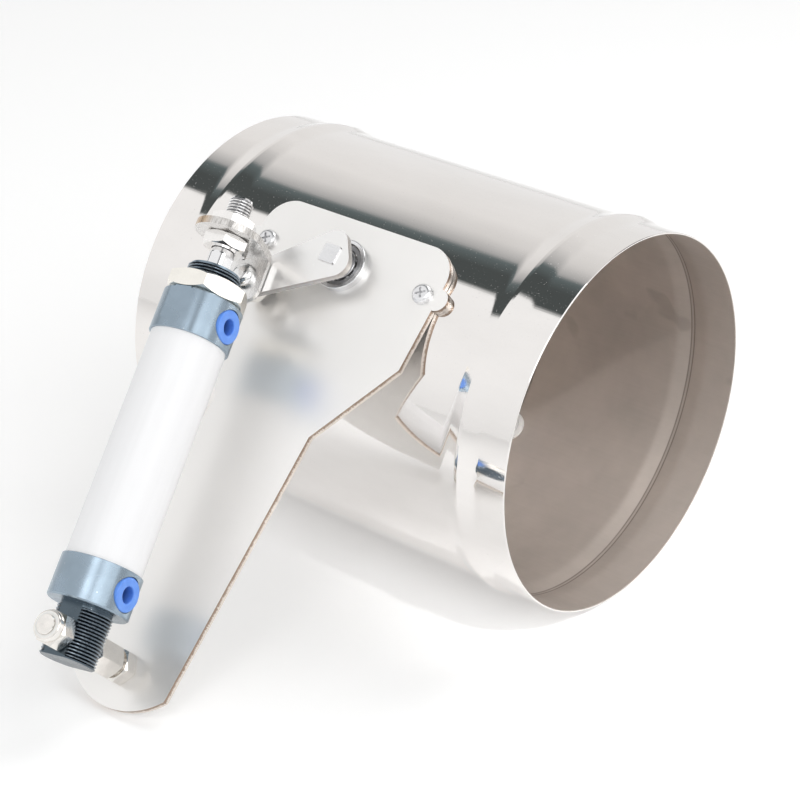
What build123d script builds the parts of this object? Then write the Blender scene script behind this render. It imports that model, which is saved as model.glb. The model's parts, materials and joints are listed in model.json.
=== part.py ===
"""Pneumatic air damper: a round duct section with a butterfly blade, turned by a small air cylinder.

Millimetres. The origin is the centre of the outlet end of the duct, +X runs out of that end and +Z is up.
The damper lies on the beads of its duct and on the tip of its mounting plate.
"""
import os
from math import acos, atan2, cos, degrees, hypot, radians, sin, sqrt, tan

from build123d import *

os.makedirs("parts", exist_ok=True)

# Duct
duct_diameter = 160.0
duct_length = 200.0
duct_wall = 0.8
bead_from_end = 22.4
bead_width = 15.0
bead_crest = 1.5
bead_height = 1.6

# Mounting plate, with its heights measured from the blade shaft
plate_thickness = 3.0
plate_width = 96.0
plate_top = 20.0
plate_corner = 13.0
shoulder_drop = 31.5
neck_drop = 69.0
neck_width = 51.0
neck_round = 4.0
plate_drop = 196.0
tip_radius = 33.5
ear_radius = 4.7
screw_spread = 82.0
screw_diameter = 4.0
screw_head_diameter = 8.4
screw_head_height = 2.6
screw_recess = 4.6
screw_recess_width = 0.9
screw_recess_depth = 1.3
screw_nut_width = 7.0
screw_nut_height = 3.2
screw_tail = 1.0

# Blade and its shaft
shaft_diameter = 10.0
shaft_square = 7.6
shaft_end_proud = 0.8
shaft_rear_reach = 8.0
blade_thickness = 1.5
blade_edge_gap = 0.7
blade_notch_width = 18.0
blade_notch_depth = 4.0
blade_screw_spread = 84.0
blade_screw_diameter = 4.0
blade_screw_head = 7.0
blade_screw_head_height = 2.4
blade_nut_width = 7.0
blade_nut_height = 3.2

# Shaft bearing in the plate and bush in the far wall
bearing_diameter = 22.0
bearing_width = 6.0
bearing_ball = 3.2
bearing_balls_count = 9
ring_gap = 2.6
cage_width = 1.5
cage_height = 0.9
duct_shaft_hole = 16.0
bush_diameter = 12.0
bush_flange_diameter = 14.0
bush_flange = 1.5
bush_reach = 4.0
clip_diameter = 16.0
clip_thickness = 1.0
clip_opening = 7.0
clip_groove_depth = 0.7
collar_step = 0.2

# Crank
crank_radius = 37.0
crank_rest_angle = 215.6
crank_width = 20.8
crank_heel = 8.0
crank_corner = 6.5
crank_tip_radius = 6.8
crank_thickness = 3.0
crank_standoff = 8.5
pivot_diameter = 8.0
pivot_head_diameter = 10.4
pivot_head_height = 4.0
pivot_nut_width = 13.0
pivot_nut_height = 4.0

# Air cylinder: distances along its axis start at the rear pivot
pivot_drop = 180.0
cylinder_standoff = 32.8
ear_back = 12.8
ear_round = 8.5
ear_thickness = 18.0
boss_diameter = 22.0
boss_length = 13.4
cap_diameter = 32.5
rear_cap_length = 17.0
front_cap_length = 17.8
cap_flat_width = 30.4
cap_flat_length = 14.0
body_length = 128.3
barrel_diameter = 30.6
barrel_bore = 25.0
spigot_length = 8.0
port_diameter = 9.6
port_depth = 8.0
port_face_diameter = 14.0
port_face_depth = 1.8
plug_flange_diameter = 13.5
plug_depth = 7.0
plug_hole_diameter = 6.4
plug_hole_depth = 6.0
boss_nut_width = 30.0
boss_nut_height = 8.0
rod_diameter = 10.0
rod_end = 186.0
rod_flat_width = 8.0
rod_flat_start = 156.0
rod_flat_length = 5.0
piston_length = 20.0
piston_end_gap = 0.5
piston_seal_width = 3.0
piston_seal_depth = 2.2
wiper_diameter = 15.0
wiper_height = 2.5

# Rod bracket and nuts
tab_start = 169.0
bracket_thickness = 3.0
tab_radius = 14.0
web_width = 16.0
web_below_pivot = 10.3
web_corner = 6.0
bend_radius = 3.6
rod_nut_width = 17.0
rod_nut_height = 5.5

# Rear pivot bolt
bolt_diameter = 8.0
bolt_head_height = 5.3
bolt_nut_width = 13.0
bolt_nut_height = 6.5
spacer_nut_gap = 2.3
lock_nut_height = 9.4
lock_nut_hex_height = 6.6
lock_nut_collar = 12.2
bolt_end_proud = 0.8
insert_width = 1.2

# Edges: the turned faces of nuts, the rounds of heads as shares of their height, and small chamfers
nut_face_share = 0.95
nut_turned_angle = 29.0
pan_head_round = 0.6
dome_round = 0.85
collar_round = 0.8
ring_round = 0.5
cap_chamfer = 0.6
boss_chamfer = 0.9
rod_chamfer = 0.8
plug_round = 0.6
screw_recess_turn = 30.0

# Clearances
running_gap = 0.05
fit_gap = 0.02
side_gap = 0.3
layer_gap = 0.5
drill_gap = 0.15

# Derived radii and heights above the duct axis, along the plate's outward normal
duct_radius = duct_diameter / 2
bore_radius = duct_radius - duct_wall
bead_radius = duct_radius + bead_height
shaft_radius = shaft_diameter / 2
plate_back = duct_radius
plate_front = plate_back + plate_thickness
bearing_front = plate_back + bearing_width
crank_back = plate_front + crank_standoff
crank_front = crank_back + crank_thickness
web_back = crank_front + layer_gap
cylinder_height = plate_front + cylinder_standoff

# The damper leans over until the plate's tip is level with the lowest point of the beads
lean = degrees(acos(bead_radius / hypot(plate_drop, plate_back)) - atan2(plate_back, plate_drop))
side = Plane(
    origin=(-duct_length / 2, 0, 0),
    x_dir=(1, 0, 0),
    z_dir=(0, -cos(radians(lean)), sin(radians(lean))),
)
shaft_axis = Axis(side.origin, side.z_dir)

# The crank pin, and the cylinder's axis through it from the rear pivot
pin_u = crank_radius * cos(radians(crank_rest_angle))
pin_v = crank_radius * sin(radians(crank_rest_angle))
pin_reach = hypot(pin_u, pin_v + pivot_drop)
along = side.x_dir * (pin_u / pin_reach) + side.y_dir * ((pin_v + pivot_drop) / pin_reach)
across = along.cross(side.z_dir)
bore = Plane(
    origin=side.from_local_coords((0, -pivot_drop, cylinder_height)), x_dir=across, z_dir=along
)
cylinder_axis = Axis(bore.origin, bore.z_dir)
rear_face = ear_back
rear_seat = rear_face + rear_cap_length
front_face = rear_face + body_length
front_seat = front_face - front_cap_length
boss_end = front_face + boss_length


def profile_plane(base):
    """The plane through a base plane's axis, with its own y along that axis."""
    return Plane(origin=base.origin, x_dir=base.x_dir, z_dir=base.y_dir * -1)


def hex_nut(base, across_flats, height, hole_radius):
    """A hexagon nut standing on a base plane, with its corners turned off at both faces."""
    corner = across_flats / sqrt(3)
    face = across_flats / 2 * nut_face_share
    turned = (corner - face) * tan(radians(nut_turned_angle))
    with BuildPart() as nut:
        with BuildSketch(base):
            RegularPolygon(radius=corner, side_count=6)
        extrude(amount=height)
        with BuildSketch(profile_plane(base)):
            with BuildLine():
                Polyline(
                    (0, 0), (face, 0), (corner, turned), (corner, height - turned), (face, height),
                    (0, height), close=True,
                )
            make_face()
        revolve(axis=Axis(base.origin, base.z_dir), mode=Mode.INTERSECT)
        with BuildSketch(base):
            Circle(hole_radius)
        extrude(amount=height, mode=Mode.SUBTRACT)
    return nut.part


def finish(part, name):
    """Labels a piece and writes it."""
    part.label = name
    export_step(part, f"parts/{name}.step")


# Duct tube: rolled sheet with a roof-shaped bead swaged out near each end
def duct_profile(radius):
    """The half section under the duct's skin at a radius, beads and all."""
    crest_radius = radius + bead_height
    points = [(0, radius)]
    for centre in (-bead_from_end, -duct_length + bead_from_end):
        points.append((centre + bead_width / 2, radius))
        points.append((centre + bead_crest / 2, crest_radius))
        points.append((centre - bead_crest / 2, crest_radius))
        points.append((centre - bead_width / 2, radius))
    points += [(-duct_length, radius), (-duct_length, 0), (0, 0)]
    with BuildSketch(Plane.XZ) as section:
        with BuildLine():
            Polyline(*points, close=True)
        make_face()
    return section.sketch


with BuildPart() as duct_tube:
    revolve(duct_profile(duct_radius), axis=Axis.X)
    revolve(duct_profile(bore_radius), axis=Axis.X, mode=Mode.SUBTRACT)
    with BuildSketch(side):
        Circle(duct_shaft_hole / 2)
        with Locations((-screw_spread / 2, 0), (screw_spread / 2, 0)):
            Circle(screw_diameter / 2 + drill_gap)
    extrude(amount=duct_diameter, mode=Mode.SUBTRACT)
    with BuildSketch(side):
        Circle(bush_diameter / 2 + fit_gap)
    extrude(amount=-duct_diameter, mode=Mode.SUBTRACT)
finish(duct_tube.part, "duct_tube")

# Mounting plate: flat laser-cut sheet, tangent to the duct, that carries the cylinder on its long neck
half_width = plate_width / 2
half_neck = neck_width / 2
tip_corner = -plate_drop + tip_radius - sqrt(tip_radius**2 - half_neck**2)
with BuildPart() as mounting_plate:
    with BuildSketch(side.offset(plate_back)):
        with BuildLine():
            Polyline(
                (half_neck, tip_corner), (half_neck, -neck_drop), (half_width, -shoulder_drop),
                (half_width, plate_top), (-half_width, plate_top), (-half_width, -shoulder_drop),
                (-half_neck, -neck_drop), (-half_neck, tip_corner),
            )
            ThreePointArc((-half_neck, tip_corner), (0, -plate_drop), (half_neck, tip_corner))
        plate_face = make_face()
        corners = plate_face.vertices()
        fillet(corners.group_by(Axis.Y)[-1], radius=plate_corner)
        fillet(corners.filter_by_position(Axis.Y, -neck_drop, -shoulder_drop), radius=neck_round)
        with Locations((-half_width, 0), (half_width, 0)):
            Circle(ear_radius)
        Circle(bearing_diameter / 2, mode=Mode.SUBTRACT)
        with Locations((-screw_spread / 2, 0), (screw_spread / 2, 0)):
            Circle(screw_diameter / 2 + drill_gap, mode=Mode.SUBTRACT)
        with Locations((0, -pivot_drop)):
            Circle(bolt_diameter / 2 + drill_gap, mode=Mode.SUBTRACT)
    extrude(amount=plate_thickness)
finish(mounting_plate.part, "mounting_plate")

# Plate screws: two cross-recessed pan heads through the plate and the duct wall, with nuts inside
screw_places = ((-screw_spread / 2, 0), (screw_spread / 2, 0))
screw_nut_top = sqrt(bore_radius**2 - screw_nut_width**2 / 3)
screw_length = plate_front - screw_nut_top + screw_nut_height + screw_tail
with BuildPart() as plate_screws:
    with BuildSketch(side.offset(plate_front)):
        with Locations(*screw_places):
            Circle(screw_head_diameter / 2)
    extrude(amount=screw_head_height)
    rims = plate_screws.edges().filter_by(GeomType.CIRCLE).group_by(shaft_axis)[-1]
    fillet(rims, radius=screw_head_height * pan_head_round)
    with BuildSketch(side.offset(plate_front + screw_head_height)):
        with Locations(*screw_places):
            Rectangle(screw_recess, screw_recess_width, rotation=screw_recess_turn)
            Rectangle(screw_recess_width, screw_recess, rotation=screw_recess_turn)
    extrude(amount=-screw_recess_depth, mode=Mode.SUBTRACT)
    with BuildSketch(side.offset(plate_front)):
        with Locations(*screw_places):
            Circle(screw_diameter / 2)
    extrude(amount=-screw_length)
finish(plate_screws.part, "plate_screws")

screw_nuts = []
for place in screw_places:
    seat = Plane(
        origin=side.from_local_coords((*place, screw_nut_top)), x_dir=side.x_dir, z_dir=side.z_dir * -1
    )
    screw_nuts.append(hex_nut(seat, screw_nut_width, screw_nut_height, screw_diameter / 2))
finish(Compound(children=screw_nuts), "plate_screw_nuts")

# Shaft bearing: an open ball bearing pressed into the plate, its outer ring proud of the plate's face
pitch_radius = (bearing_diameter / 2 + shaft_radius) / 2
outer_ring_bore = pitch_radius + ring_gap / 2
inner_ring_radius = pitch_radius - ring_gap / 2
ball_plane = side.offset(plate_back + bearing_width / 2)
ball_groove = bearing_ball / 2 + running_gap
groove_plane = profile_plane(ball_plane)
with BuildPart() as bearing_outer_ring:
    with BuildSketch(side.offset(plate_back)):
        Circle(bearing_diameter / 2)
        Circle(outer_ring_bore, mode=Mode.SUBTRACT)
    extrude(amount=bearing_width)
    ring_edges = bearing_outer_ring.edges().filter_by(GeomType.CIRCLE).group_by(shaft_axis)[-1]
    fillet(ring_edges.sort_by(SortBy.RADIUS)[-1], radius=ring_round)
    with BuildSketch(groove_plane):
        with Locations((pitch_radius, 0)):
            Circle(ball_groove)
    revolve(axis=shaft_axis, mode=Mode.SUBTRACT)
finish(bearing_outer_ring.part, "bearing_outer_ring")

with BuildPart() as bearing_inner_ring:
    with BuildSketch(side.offset(plate_back)):
        Circle(inner_ring_radius)
        Circle(shaft_radius, mode=Mode.SUBTRACT)
    extrude(amount=bearing_width)
    with BuildSketch(groove_plane):
        with Locations((pitch_radius, 0)):
            Circle(ball_groove)
    revolve(axis=shaft_axis, mode=Mode.SUBTRACT)
finish(bearing_inner_ring.part, "bearing_inner_ring")

with BuildPart() as bearing_balls:
    with Locations(ball_plane):
        with PolarLocations(pitch_radius, bearing_balls_count):
            Sphere(bearing_ball / 2)
finish(bearing_balls.part, "bearing_balls")

with BuildPart() as bearing_cage:
    with BuildSketch(ball_plane.offset(bearing_ball / 2 - cage_height / 2)):
        Circle(pitch_radius + cage_width / 2)
        Circle(pitch_radius - cage_width / 2, mode=Mode.SUBTRACT)
    extrude(amount=cage_height)
    with Locations(ball_plane):
        with PolarLocations(pitch_radius, bearing_balls_count):
            Sphere(ball_groove, mode=Mode.SUBTRACT)
finish(bearing_cage.part, "bearing_cage")

# Rear bush: a flanged plastic bush in the far wall, its flange inside the duct
flange_face = sqrt(bore_radius**2 - (bush_flange_diameter / 2) ** 2) - fit_gap
with BuildPart() as rear_bush:
    with BuildSketch(side.offset(-flange_face)):
        Circle(bush_flange_diameter / 2)
    extrude(amount=bush_flange)
    with BuildSketch(side.offset(-flange_face)):
        Circle(bush_diameter / 2)
    extrude(amount=-(duct_radius + bush_reach - flange_face))
    with BuildSketch(side):
        Circle(shaft_radius + running_gap)
    extrude(amount=-duct_diameter, mode=Mode.SUBTRACT)
finish(rear_bush.part, "rear_bush")

# Blade shaft: a turned bar, slotted for the blade, squared at the crank and grooved for a clip behind
blade_radius = bore_radius - blade_edge_gap
blade_seat = blade_radius - blade_notch_depth
shaft_back = -(duct_radius + shaft_rear_reach)
clip_plane = side.offset(-(duct_radius + bush_reach + side_gap))
blade_plane = Plane(origin=side.origin, x_dir=side.z_dir, z_dir=side.x_dir)
blade_screw_places = ((-blade_screw_spread / 2, 0), (blade_screw_spread / 2, 0))
with BuildPart() as blade_shaft:
    with BuildSketch(side.offset(shaft_back)):
        Circle(shaft_radius)
    extrude(amount=crank_back - shaft_back)
    with BuildSketch(side.offset(crank_back)):
        Circle(shaft_radius)
        Rectangle(shaft_square, shaft_square, mode=Mode.INTERSECT)
    extrude(amount=crank_thickness + shaft_end_proud)
    with BuildSketch(blade_plane):
        Rectangle(2 * blade_seat + 2 * fit_gap, shaft_diameter)
    extrude(amount=blade_thickness / 2 + fit_gap, both=True, mode=Mode.SUBTRACT)
    with BuildSketch(blade_plane):
        with Locations(*blade_screw_places):
            Circle(blade_screw_diameter / 2 + drill_gap)
    extrude(amount=shaft_diameter, both=True, mode=Mode.SUBTRACT)
    with BuildSketch(clip_plane):
        Circle(shaft_radius)
        Circle(shaft_radius - clip_groove_depth, mode=Mode.SUBTRACT)
    extrude(amount=-clip_thickness, mode=Mode.SUBTRACT)
finish(blade_shaft.part, "blade_shaft")

with BuildPart() as retaining_clip:
    with BuildSketch(clip_plane):
        Circle(clip_diameter / 2)
        Circle(shaft_radius - clip_groove_depth, mode=Mode.SUBTRACT)
        with Locations((0, clip_diameter / 2)):
            Rectangle(clip_opening, clip_diameter, mode=Mode.SUBTRACT)
    extrude(amount=-clip_thickness)
finish(retaining_clip.part, "retaining_clip")

# Damper blade: a flat disc in the shaft's slot, notched where the shaft leaves it
with BuildPart() as damper_blade:
    with BuildSketch(blade_plane):
        Circle(blade_radius)
        with Locations((-blade_radius, 0), (blade_radius, 0)):
            Rectangle(2 * blade_notch_depth, blade_notch_width, mode=Mode.SUBTRACT)
        with Locations(*blade_screw_places):
            Circle(blade_screw_diameter / 2 + drill_gap, mode=Mode.SUBTRACT)
    extrude(amount=blade_thickness / 2, both=True)
finish(damper_blade.part, "damper_blade")

with BuildPart() as blade_screws:
    with BuildSketch(blade_plane.offset(shaft_radius)):
        with Locations(*blade_screw_places):
            Circle(blade_screw_head / 2)
    extrude(amount=blade_screw_head_height)
    heads = blade_screws.edges().filter_by(GeomType.CIRCLE).group_by(Axis.X)[-1]
    fillet(heads, radius=blade_screw_head_height * pan_head_round)
    with BuildSketch(blade_plane.offset(shaft_radius)):
        with Locations(*blade_screw_places):
            Circle(blade_screw_diameter / 2)
    extrude(amount=-(shaft_diameter + blade_nut_height))
finish(blade_screws.part, "blade_screws")

blade_nuts = []
for place in blade_screw_places:
    seat = Plane(
        origin=blade_plane.from_local_coords((*place, -shaft_radius)),
        x_dir=blade_plane.x_dir,
        z_dir=blade_plane.z_dir * -1,
    )
    blade_nuts.append(hex_nut(seat, blade_nut_width, blade_nut_height, blade_screw_diameter / 2))
finish(Compound(children=blade_nuts), "blade_nuts")

# Shaft collar and crank arm: the arm sits on the shaft's square, held off the bearing by the collar
with BuildPart() as shaft_collar:
    with BuildSketch(side.offset(bearing_front)):
        Circle(inner_ring_radius - collar_step)
        Circle(shaft_radius, mode=Mode.SUBTRACT)
    extrude(amount=crank_back - bearing_front)
finish(shaft_collar.part, "shaft_collar")

crank_plane = Plane(
    origin=side.from_local_coords((0, 0, crank_back)),
    x_dir=side.x_dir * cos(radians(crank_rest_angle)) + side.y_dir * sin(radians(crank_rest_angle)),
    z_dir=side.z_dir,
)
heel_corner = (crank_corner - crank_heel, crank_width / 2 - crank_corner)
with BuildPart() as crank_arm:
    with BuildSketch(crank_plane):
        with Locations(heel_corner, (heel_corner[0], -heel_corner[1])):
            Circle(crank_corner)
        with Locations((crank_radius, 0)):
            Circle(crank_tip_radius)
        make_hull()
    extrude(amount=crank_thickness)
    with BuildSketch(side.offset(crank_back)):
        Rectangle(shaft_square + 2 * fit_gap, shaft_square + 2 * fit_gap)
        with Locations((pin_u, pin_v)):
            Circle(pivot_diameter / 2 + drill_gap)
    extrude(amount=crank_thickness, mode=Mode.SUBTRACT)
finish(crank_arm.part, "crank_arm")

pivot_nut_seat = Plane(
    origin=side.from_local_coords((pin_u, pin_v, crank_back)), x_dir=across, z_dir=side.z_dir * -1
)
finish(hex_nut(pivot_nut_seat, pivot_nut_width, pivot_nut_height, pivot_diameter / 2), "pivot_nut")

# Rear pivot: a bolt through the plate, clamped by a nut, with a long nut that spaces the cylinder's ear
pivot_place = side.from_local_coords((0, -pivot_drop, 0))
pivot_side = Plane(origin=pivot_place, x_dir=side.x_dir, z_dir=side.z_dir)
ear_near = cylinder_height - ear_thickness / 2
ear_far = cylinder_height + ear_thickness / 2
bolt_radius = bolt_diameter / 2
insert_radius = bolt_radius + insert_width
lock_base = ear_far + side_gap
lock_top = lock_base + lock_nut_height
bolt_end = lock_top + bolt_end_proud
plate_nut_top = plate_front + bolt_nut_height
spacer_base = plate_nut_top + spacer_nut_gap
bolt_base = pivot_side.offset(plate_back - bolt_head_height)
with BuildPart() as pivot_bolt:
    add(hex_nut(bolt_base, bolt_nut_width, bolt_head_height, bolt_radius))
    with BuildSketch(bolt_base):
        Circle(bolt_radius)
    extrude(amount=bolt_end - plate_back + bolt_head_height)
finish(pivot_bolt.part, "pivot_bolt")
finish(hex_nut(pivot_side.offset(plate_front), bolt_nut_width, bolt_nut_height, bolt_radius), "plate_nut")
spacer_height = ear_near - side_gap - spacer_base
finish(hex_nut(pivot_side.offset(spacer_base), bolt_nut_width, spacer_height, bolt_radius), "spacer_nut")

with BuildPart() as lock_nut:
    add(hex_nut(pivot_side.offset(lock_base), bolt_nut_width, lock_nut_hex_height, bolt_radius))
    with BuildSketch(pivot_side.offset(lock_base + lock_nut_hex_height)):
        Circle(lock_nut_collar / 2)
        Circle(insert_radius, mode=Mode.SUBTRACT)
    extrude(amount=lock_nut_height - lock_nut_hex_height)
    collar_rim = lock_nut.edges().filter_by(GeomType.CIRCLE).group_by(shaft_axis)[-1]
    fillet(collar_rim.sort_by(SortBy.RADIUS)[-1], radius=collar_round * (lock_nut_collar / 2 - insert_radius))
finish(lock_nut.part, "lock_nut")

with BuildPart() as lock_insert:
    with BuildSketch(pivot_side.offset(lock_base + lock_nut_hex_height)):
        Circle(insert_radius)
        Circle(bolt_radius, mode=Mode.SUBTRACT)
    extrude(amount=lock_nut_height - lock_nut_hex_height)
finish(lock_insert.part, "lock_insert")


# Air cylinder: two turned caps crimped on a drawn tube, with a side port in each cap
def port_plane(distance, height):
    """The plane of a side port at a distance along the cylinder, at a height off its axis."""
    return Plane(
        origin=bore.from_local_coords((height, 0, distance)), x_dir=bore.z_dir, z_dir=bore.x_dir
    )


cap_radius = cap_diameter / 2
boss_radius = boss_diameter / 2
spigot_radius = barrel_bore / 2 - fit_gap
port_face = cap_radius - port_face_depth
rear_port = rear_face + rear_cap_length / 2
front_port = front_face - front_cap_length / 2
with BuildPart() as rear_cap:
    with BuildSketch(bore.offset(rear_face)):
        Circle(cap_radius)
    extrude(amount=rear_cap_length)
    chamfer(rear_cap.edges().filter_by(GeomType.CIRCLE).group_by(cylinder_axis)[0], length=cap_chamfer)
    with BuildSketch(bore.offset(rear_seat)):
        Circle(spigot_radius)
    extrude(amount=spigot_length)
    with BuildSketch(bore.offset(-ear_round)):
        Circle(boss_radius)
        Rectangle(boss_diameter, ear_thickness, mode=Mode.INTERSECT)
    extrude(amount=ear_round + rear_face)
    with BuildSketch(Plane(origin=bore.origin, x_dir=bore.x_dir, z_dir=side.z_dir)):
        Circle(bolt_radius + running_gap)
    extrude(amount=boss_diameter, both=True, mode=Mode.SUBTRACT)
    with BuildSketch(port_plane(rear_port, port_face)):
        Circle(port_face_diameter / 2)
    extrude(amount=2 * port_face_depth, mode=Mode.SUBTRACT)
    with BuildSketch(port_plane(rear_port, port_face)):
        Circle(port_diameter / 2)
    extrude(amount=-port_depth, mode=Mode.SUBTRACT)
finish(rear_cap.part, "rear_cap")

with BuildPart() as front_cap:
    with BuildSketch(bore.offset(front_seat)):
        Circle(cap_radius)
    extrude(amount=front_cap_length)
    chamfer(front_cap.edges().filter_by(GeomType.CIRCLE).group_by(cylinder_axis)[-1], length=cap_chamfer)
    with BuildSketch(bore.offset(front_face)):
        Circle(cap_diameter)
        Rectangle(2 * cap_diameter, cap_flat_width, mode=Mode.SUBTRACT)
    extrude(amount=-cap_flat_length, mode=Mode.SUBTRACT)
    with BuildSketch(bore.offset(front_seat)):
        Circle(spigot_radius)
    extrude(amount=-spigot_length)
    with BuildSketch(bore.offset(front_face)):
        Circle(boss_radius)
    extrude(amount=boss_length)
    chamfer(front_cap.edges().filter_by(GeomType.CIRCLE).group_by(cylinder_axis)[-1], length=boss_chamfer)
    with BuildSketch(bore.offset(front_seat - spigot_length)):
        Circle(rod_diameter / 2 + running_gap)
    extrude(amount=boss_end - front_seat + spigot_length, mode=Mode.SUBTRACT)
    with BuildSketch(bore.offset(boss_end)):
        Circle(wiper_diameter / 2)
    extrude(amount=-wiper_height, mode=Mode.SUBTRACT)
    with BuildSketch(port_plane(front_port, port_face)):
        Circle(port_face_diameter / 2)
    extrude(amount=2 * port_face_depth, mode=Mode.SUBTRACT)
    with BuildSketch(port_plane(front_port, port_face)):
        Circle(port_diameter / 2)
    extrude(amount=-port_depth, mode=Mode.SUBTRACT)
finish(front_cap.part, "front_cap")

with BuildPart() as rod_wiper:
    with BuildSketch(bore.offset(boss_end - wiper_height)):
        Circle(wiper_diameter / 2)
        Circle(rod_diameter / 2 + running_gap, mode=Mode.SUBTRACT)
    extrude(amount=wiper_height)
finish(rod_wiper.part, "rod_wiper")

with BuildPart() as barrel:
    with BuildSketch(bore.offset(rear_seat)):
        Circle(barrel_diameter / 2)
        Circle(barrel_bore / 2, mode=Mode.SUBTRACT)
    extrude(amount=front_seat - rear_seat)
finish(barrel.part, "barrel")

boss_nut = hex_nut(bore.offset(front_face), boss_nut_width, boss_nut_height, boss_radius)
finish(boss_nut, "boss_nut")

for plug_name, plug_place in (("rear_port_plug", rear_port), ("front_port_plug", front_port)):
    with BuildPart() as port_plug:
        with BuildSketch(port_plane(plug_place, port_face)):
            Circle(plug_flange_diameter / 2)
        extrude(amount=port_face_depth)
        with BuildSketch(port_plane(plug_place, port_face)):
            Circle(port_diameter / 2 - fit_gap)
        extrude(amount=-plug_depth)
        with BuildSketch(port_plane(plug_place, cap_radius)):
            Circle(plug_hole_diameter / 2)
        extrude(amount=-plug_hole_depth, mode=Mode.SUBTRACT)
        rims = port_plug.faces().sort_by(Axis(bore.origin, bore.x_dir))[-1].edges()
        fillet(rims, radius=plug_round)
    finish(port_plug.part, plug_name)

# Piston rod and piston, at the rear end of the stroke
rod_radius = rod_diameter / 2
piston_start = rear_seat + spigot_length + piston_end_gap
piston_radius = barrel_bore / 2 - running_gap
piston_end = piston_start + piston_length
seal_starts = (
    piston_start + piston_length / 4 - piston_seal_width / 2,
    piston_end - piston_length / 4 - piston_seal_width / 2,
)
with BuildPart() as piston_rod:
    with BuildSketch(bore.offset(piston_start)):
        Circle(rod_radius)
    extrude(amount=rod_end - piston_start)
    chamfer(piston_rod.edges().filter_by(GeomType.CIRCLE).group_by(cylinder_axis)[-1], length=rod_chamfer)
    with BuildSketch(bore.offset(rod_flat_start)):
        Circle(rod_diameter)
        Rectangle(rod_flat_width, 2 * rod_diameter, mode=Mode.SUBTRACT)
    extrude(amount=rod_flat_length, mode=Mode.SUBTRACT)
finish(piston_rod.part, "piston_rod")

with BuildPart() as piston:
    with BuildSketch(bore.offset(piston_start)):
        Circle(piston_radius)
        Circle(rod_radius, mode=Mode.SUBTRACT)
    extrude(amount=piston_length)
    for seal_start in seal_starts:
        with BuildSketch(bore.offset(seal_start)):
            Circle(piston_radius)
            Circle(piston_radius - piston_seal_depth, mode=Mode.SUBTRACT)
        extrude(amount=piston_seal_width, mode=Mode.SUBTRACT)
finish(piston.part, "piston")

with BuildPart() as piston_seals:
    for seal_start in seal_starts:
        with BuildSketch(bore.offset(seal_start)):
            Circle(piston_radius)
            Circle(piston_radius - piston_seal_depth, mode=Mode.SUBTRACT)
        extrude(amount=piston_seal_width)
finish(piston_seals.part, "piston_seals")

# Rod bracket: sheet bent to an L, its tab clamped on the rod's thread and its web over the crank pin
tab_end = tab_start + bracket_thickness
web_start = pin_reach - web_below_pivot
web_plane = Plane(
    origin=side.from_local_coords((0, -pivot_drop, web_back)), x_dir=bore.x_dir, z_dir=side.z_dir
)
web_far = cylinder_height - web_back
fold_plane = Plane(origin=bore.origin, x_dir=bore.y_dir, z_dir=bore.x_dir)
with BuildPart() as rod_bracket:
    with BuildSketch(fold_plane):
        with BuildLine():
            Polyline(
                (-tab_radius, tab_start), (-tab_radius, tab_end), (web_far, tab_end), (web_far, web_start),
                (web_far - bracket_thickness, web_start), (web_far - bracket_thickness, tab_start),
                close=True,
            )
        fold = make_face()
        fillet(fold.vertices().sort_by_distance((web_far, tab_end))[0], radius=bend_radius)
        inner_bend = (web_far - bracket_thickness, tab_start)
        fillet(fold.vertices().sort_by_distance(inner_bend)[0], radius=bend_radius - bracket_thickness)
    extrude(amount=tab_radius, both=True)
    with BuildSketch(bore.offset(web_start)):
        Circle(tab_radius)
        with Locations((0, web_far)):
            Rectangle(web_width, bracket_thickness, align=(Align.CENTER, Align.MAX))
        make_hull()
    extrude(amount=tab_end - web_start, mode=Mode.INTERSECT)
    with BuildSketch(bore.offset(tab_start)):
        Circle(rod_radius + drill_gap)
    extrude(amount=bracket_thickness, mode=Mode.SUBTRACT)
    with BuildSketch(web_plane):
        with Locations((0, pin_reach)):
            Circle(pivot_diameter / 2)
    extrude(amount=bracket_thickness, mode=Mode.SUBTRACT)
    web_end = rod_bracket.edges().group_by(cylinder_axis)[0]
    fillet(web_end.sort_by(SortBy.LENGTH)[:2], radius=web_corner)
finish(rod_bracket.part, "rod_bracket")

for nut_name, nut_start in (("lower_rod_nut", tab_start - rod_nut_height), ("upper_rod_nut", tab_end)):
    finish(hex_nut(bore.offset(nut_start), rod_nut_width, rod_nut_height, rod_radius), nut_name)

# Pivot pin: a domed pin in the bracket's web, over the hole of the crank arm
pin_plane = Plane(
    origin=side.from_local_coords((pin_u, pin_v, web_back)), x_dir=bore.x_dir, z_dir=side.z_dir
)
with BuildPart() as pivot_pin:
    with BuildSketch(pin_plane):
        Circle(pivot_diameter / 2)
    extrude(amount=bracket_thickness)
    with BuildSketch(pin_plane.offset(bracket_thickness)):
        Circle(pivot_head_diameter / 2)
    extrude(amount=pivot_head_height)
    dome = pivot_pin.edges().filter_by(GeomType.CIRCLE).group_by(shaft_axis)[-1]
    fillet(dome, radius=pivot_head_height * dome_round)
finish(pivot_pin.part, "pivot_pin")
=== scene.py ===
import json
from math import cos, pi, radians, sin, tau

import bmesh
import bpy
from mathutils import Matrix, Vector


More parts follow.
